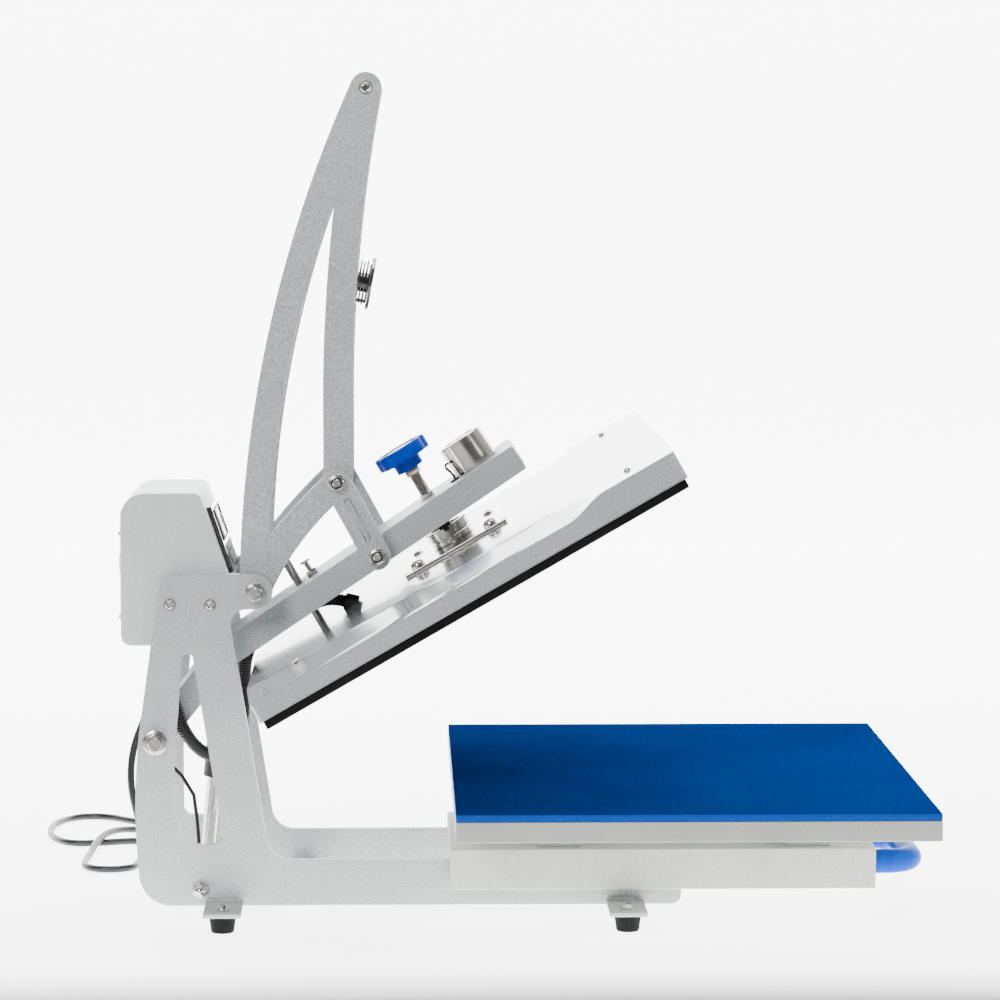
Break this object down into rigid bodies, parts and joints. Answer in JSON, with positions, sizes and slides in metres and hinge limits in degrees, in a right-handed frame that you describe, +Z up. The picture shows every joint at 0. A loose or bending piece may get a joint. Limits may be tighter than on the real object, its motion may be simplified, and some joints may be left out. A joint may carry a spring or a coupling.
{
  "type": "heat press",
  "caption": "Tilt-up heat press with a lever handle, floating heated upper platen, pressure knob, holding magnet and a slide-out lower platen with a silicone pad.",
  "frame": {"origin": "middle of the machine's outline on the surface that its feet stand on, with the drawer out and the upper platen raised", "axes": "+X towards the drawer pull, +Z up, +Y across the machine"},
  "size_m": [0.8023, 0.6863, 0.7312],
  "materials": {
    "speckled_silver": "fine speckled silver powder coat",
    "pale_silver": "smooth pale grey paint",
    "gloss_silver": "glossy silver paint",
    "zinc": "bright zinc plate",
    "bright_steel": "turned and polished",
    "dark_steel": "blackened steel",
    "platen_silver": "smooth pale grey paint over cast aluminium",
    "heat_coat": "black non-stick coat",
    "blanket": "woven glass wool",
    "blue_plastic": "glossy blue",
    "blue_paint": "glossy blue enamel",
    "blue_silicone": "sponge with a fine woven texture",
    "black_rubber": "matt",
    "black_plastic": "matt",
    "grip": "ribbed",
    "brass": "plain",
    "grey_plastic": "satin"
  },
  "bodies": {
    "base": {"side_plate_near": "speckled_silver", "side_plate_far": "speckled_silver", "beam_axle": "zinc", "handle_axle": "zinc", "lower_tie_rod": "zinc", "side_nuts": "zinc", "axle_spacers": "zinc", "cross_members": "speckled_silver", "foot_tabs": "speckled_silver", "rubber_feet": "black_rubber", "fixed_slides": "zinc", "control_box_shell": "speckled_silver", "control_box_rear_cover": "speckled_silver", "box_screws": "zinc", "control_bezel": "black_plastic", "switch_frame": "black_plastic", "cord_gland": "black_plastic", "conduit_low_gland": "black_plastic", "conduit_lower": "black_plastic", "power_cord": "black_rubber", "power_plug": "black_rubber", "plug_pins": "brass"},
    "beam": {"beam": "speckled_silver", "strut_top_pin": "zinc", "pressure_nut": "zinc", "electromagnet": "bright_steel", "link_bolts": "zinc"},
    "handle": {"handle_plate_near": "speckled_silver", "handle_plate_far": "speckled_silver", "handle_grip": "grip", "handle_crossbar": "speckled_silver", "armature_disc": "bright_steel", "armature_bush": "black_rubber", "handle_fasteners": "zinc"},
    "links": {"link_plates": "speckled_silver", "link_top_nuts": "zinc"},
    "press_hub": {"press_hub": "bright_steel"},
    "pressure_knob": {"pressure_rod": "dark_steel", "pressure_knob": "blue_plastic"},
    "upper_platen": {"platen_cover": "gloss_silver", "heat_plate": "heat_coat", "insulation_blanket": "blanket", "platen_mount_plate": "bright_steel", "platen_screws": "zinc", "hub_socket": "bright_steel", "guide_rod": "dark_steel", "conduit_top_gland": "black_plastic", "conduit_upper": "black_plastic"},
    "drawer": {"moving_slides": "zinc", "drawer_box": "pale_silver", "platen_supports": "pale_silver", "lower_platen": "platen_silver", "silicone_pad": "blue_silicone", "drawer_pull": "blue_paint"},
    "strut_rod": {"strut_rod": "black_plastic"},
    "strut_tube": {"strut_tube": "black_plastic"},
    "power_rocker": {"power_rocker": "black_plastic"},
    "set_key": {"set_key": "grey_plastic"},
    "down_key": {"down_key": "grey_plastic"},
    "up_key": {"up_key": "grey_plastic"}
  },
  "joints": [
    {"name": "beam_swing", "type": "hinge", "parent": "base", "child": "beam", "pos_m": [-0.318, 0, 0.157], "axis": [0, 1, 0], "range_deg": [0, 32.41], "stiffness_Nm_per_rad": 25, "springref_deg": -143.24, "deforming": ["conduit_lower"]},
    {"name": "handle_swing", "type": "hinge", "parent": "base", "child": "handle", "pos_m": [-0.232, 0, 0.2875], "axis": [0, 1, 0], "range_deg": [0, 79.7]},
    {"name": "link_swing", "type": "hinge", "parent": "beam", "child": "links", "pos_m": [-0.127, 0, 0.3175], "axis": [0, 1, 0], "range_deg": [-55.6, 0]},
    {"name": "pressure_height", "type": "slide", "parent": "beam", "child": "press_hub", "axis": [-0.515, 0, 0.8572], "range_m": [-0.0015, 0.004]},
    {"name": "platen_tilt", "type": "hinge", "parent": "press_hub", "child": "upper_platen", "pos_m": [-0.0657, 0, 0.3339], "axis": [0, 1, 0], "range_deg": [-2.51, 0]},
    {"name": "knob_turn", "type": "hinge", "parent": "press_hub", "child": "pressure_knob", "pos_m": [-0.0657, 0, 0.3339], "axis": [-0.515, 0, 0.8572], "range_deg": [-350, 1100]},
    {"name": "drawer_slide", "type": "slide", "parent": "base", "child": "drawer", "axis": [1, 0, 0], "range_m": [-0.15, 0]},
    {"name": "strut_pivot", "type": "hinge", "parent": "base", "child": "strut_rod", "pos_m": [-0.2798, 0, 0.029], "axis": [0, 1, 0], "range_deg": [0, 11.81]},
    {"name": "strut_stroke", "type": "slide", "parent": "strut_rod", "child": "strut_tube", "axis": [0.1089, 0, 0.9941], "range_m": [-0.0366, 0]},
    {"name": "rocker_tilt", "type": "hinge", "parent": "base", "child": "power_rocker", "pos_m": [-0.3501, -0.03, 0.308], "axis": [0, 0, 1], "range_deg": [-6, 6]},
    {"name": "set_key_press", "type": "slide", "parent": "base", "child": "set_key", "axis": [-0.9467, 0, -0.322], "range_m": [0, 0.0015], "stiffness_N_per_m": 500, "springref_m": -0.001},
    {"name": "down_key_press", "type": "slide", "parent": "base", "child": "down_key", "axis": [-0.9467, 0, -0.322], "range_m": [0, 0.0015], "stiffness_N_per_m": 500, "springref_m": -0.001},
    {"name": "up_key_press", "type": "slide", "parent": "base", "child": "up_key", "axis": [-0.9467, 0, -0.322], "range_m": [0, 0.0015], "stiffness_N_per_m": 500, "springref_m": -0.001}
  ],
  "couplings": [
    {"joint": "handle_swing", "follows": "beam_swing", "ratio": 2.4533},
    {"joint": "link_swing", "follows": "beam_swing", "ratio": -1.7066},
    {"joint": "platen_tilt", "follows": "beam_swing", "ratio": -0.07425},
    {"joint": "strut_pivot", "follows": "beam_swing", "ratio": 0.36138},
    {"joint": "strut_stroke", "follows": "beam_swing", "m_per_rad": -0.064392},
    {"joint": "knob_turn", "follows": "pressure_height", "rad_per_m": 3141.6}
  ]
}
